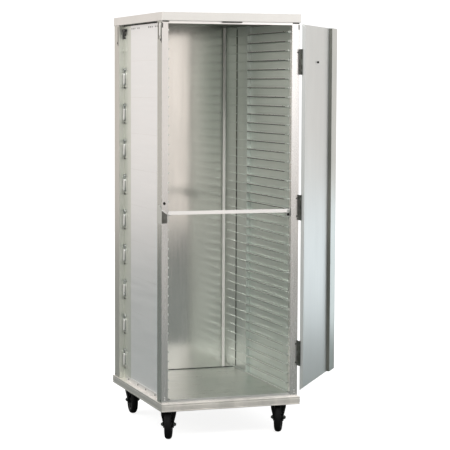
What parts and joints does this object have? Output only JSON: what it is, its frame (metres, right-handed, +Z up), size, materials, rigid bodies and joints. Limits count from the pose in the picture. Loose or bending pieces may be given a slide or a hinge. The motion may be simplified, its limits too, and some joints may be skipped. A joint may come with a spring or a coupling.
{
  "type": "proofing cabinet",
  "caption": "Tall enclosed proofing cabinet on swivel casters, with ledged side walls for trays, a hinged full-height door standing open and a swing-up retaining bar.",
  "frame": {"origin": "on the ground, under the middle of the box round the whole cabinet with its door standing open as stored", "axes": "+Z up, the doorway faces -Y, the door hinges are on the +X side"},
  "size_m": [0.9466, 0.7495, 1.7205],
  "materials": {
    "frame_aluminium": "brushed extruded aluminium",
    "satin_aluminium": "satin mill aluminium sheet",
    "post_aluminium": "bright drawn aluminium",
    "upright_aluminium": "satin mill aluminium",
    "plank_aluminium": "smooth bright extruded aluminium",
    "back_aluminium": "vertically grained reflective sheet",
    "cap_aluminium": "smooth bright sheet",
    "door_aluminium": "smooth satin sheet",
    "bar_aluminium": "bright drawn aluminium",
    "zinc_steel": "zinc plated",
    "dark_steel": "dark plated",
    "fork_black": "semi-gloss black",
    "tyre_black": "black rubber tread"
  },
  "bodies": {
    "cabinet": {"base_frame": "frame_aluminium", "floor_pan": "satin_aluminium", "threshold": "satin_aluminium", "post_front_left": "post_aluminium", "upright_rear_left": "upright_aluminium", "post_front_right": "post_aluminium", "upright_rear_right": "upright_aluminium", "plank_left_01": "plank_aluminium", "plank_left_02": "plank_aluminium", "plank_left_03": "plank_aluminium", "plank_left_04": "plank_aluminium", "plank_left_05": "plank_aluminium", "plank_left_06": "plank_aluminium", "plank_left_07": "plank_aluminium", "plank_left_08": "plank_aluminium", "plank_left_09": "plank_aluminium", "plank_left_10": "plank_aluminium", "plank_right_01": "plank_aluminium", "plank_right_02": "plank_aluminium", "plank_right_03": "plank_aluminium", "plank_right_04": "plank_aluminium", "plank_right_05": "plank_aluminium", "plank_right_06": "plank_aluminium", "plank_right_07": "plank_aluminium", "plank_right_08": "plank_aluminium", "plank_right_09": "plank_aluminium", "plank_right_10": "plank_aluminium", "sill_left": "frame_aluminium", "sill_right": "frame_aluminium", "back_panel": "back_aluminium", "ceiling_sheet": "satin_aluminium", "header_rail": "post_aluminium", "top_cap": "cap_aluminium", "top_catch": "dark_steel", "hinge_frame_leaf_1": "zinc_steel", "hinge_frame_leaf_2": "zinc_steel", "hinge_frame_leaf_3": "zinc_steel", "strike_bracket": "zinc_steel", "bar_pivot_bracket": "zinc_steel", "bar_rest": "zinc_steel", "caster_plate_fl": "zinc_steel", "caster_plate_fr": "zinc_steel", "caster_plate_rl": "zinc_steel", "caster_plate_rr": "zinc_steel"},
    "door": {"door_skin": "door_aluminium", "door_stile": "door_aluminium", "latch_case": "zinc_steel", "hinge_door_leaf_1": "zinc_steel", "hinge_door_leaf_2": "zinc_steel", "hinge_door_leaf_3": "zinc_steel"},
    "latch_lever": {"latch_lever": "zinc_steel"},
    "retaining_bar": {"retaining_bar": "bar_aluminium"},
    "caster_fork_fl": {"caster_fork_fl": "fork_black"},
    "caster_wheel_fl": {"caster_wheel_fl": "tyre_black"},
    "caster_fork_fr": {"caster_fork_fr": "fork_black"},
    "caster_wheel_fr": {"caster_wheel_fr": "tyre_black"},
    "caster_fork_rl": {"caster_fork_rl": "fork_black"},
    "caster_wheel_rl": {"caster_wheel_rl": "tyre_black"},
    "caster_fork_rr": {"caster_fork_rr": "fork_black"},
    "caster_wheel_rr": {"caster_wheel_rr": "tyre_black"}
  },
  "joints": [
    {"name": "door_hinge", "type": "hinge", "parent": "cabinet", "child": "door", "pos_m": [0.1214, -0.3618, 0.93], "axis": [0, 0, 1], "range_deg": [-234.3, 15]},
    {"name": "bar_pivot", "type": "hinge", "parent": "cabinet", "child": "retaining_bar", "pos_m": [0.0762, -0.3373, 0.9206], "axis": [0, 1, 0], "range_deg": [0, 88]},
    {"name": "latch_turn", "type": "hinge", "parent": "door", "child": "latch_lever", "pos_m": [0.4245, 0.08314, 0.925], "axis": [-0.8121, 0.5835, 0], "range_deg": [0, 90]},
    {"name": "caster_swivel_fl", "type": "hinge", "parent": "cabinet", "child": "caster_fork_fl", "pos_m": [-0.4148, -0.2813, 0.13], "axis": [0, 0, 1], "continuous": true},
    {"name": "wheel_spin_fl", "type": "hinge", "parent": "caster_fork_fl", "child": "caster_wheel_fl", "pos_m": [-0.42904, -0.31653, 0.06], "axis": [0.9272, -0.3746, 0], "continuous": true},
    {"name": "caster_swivel_fr", "type": "hinge", "parent": "cabinet", "child": "caster_fork_fr", "pos_m": [0.0652, -0.2813, 0.13], "axis": [0, 0, 1], "continuous": true},
    {"name": "wheel_spin_fr", "type": "hinge", "parent": "caster_fork_fr", "child": "caster_wheel_fr", "pos_m": [0.04795, -0.31516, 0.06], "axis": [0.891, -0.454, 0], "continuous": true},
    {"name": "caster_swivel_rl", "type": "hinge", "parent": "cabinet", "child": "caster_fork_rl", "pos_m": [-0.4148, 0.2907, 0.13], "axis": [0, 0, 1], "continuous": true},
    {"name": "wheel_spin_rl", "type": "hinge", "parent": "caster_fork_rl", "child": "caster_wheel_rl", "pos_m": [-0.41745, 0.25279, 0.06], "axis": [0.9976, -0.0698, 0], "continuous": true},
    {"name": "caster_swivel_rr", "type": "hinge", "parent": "cabinet", "child": "caster_fork_rr", "pos_m": [0.0652, 0.2907, 0.13], "axis": [0, 0, 1], "continuous": true},
    {"name": "wheel_spin_rr", "type": "hinge", "parent": "caster_fork_rr", "child": "caster_wheel_rr", "pos_m": [0.05601, 0.25383, 0.06], "axis": [0.9703, -0.2419, 0], "continuous": true}
  ]
}
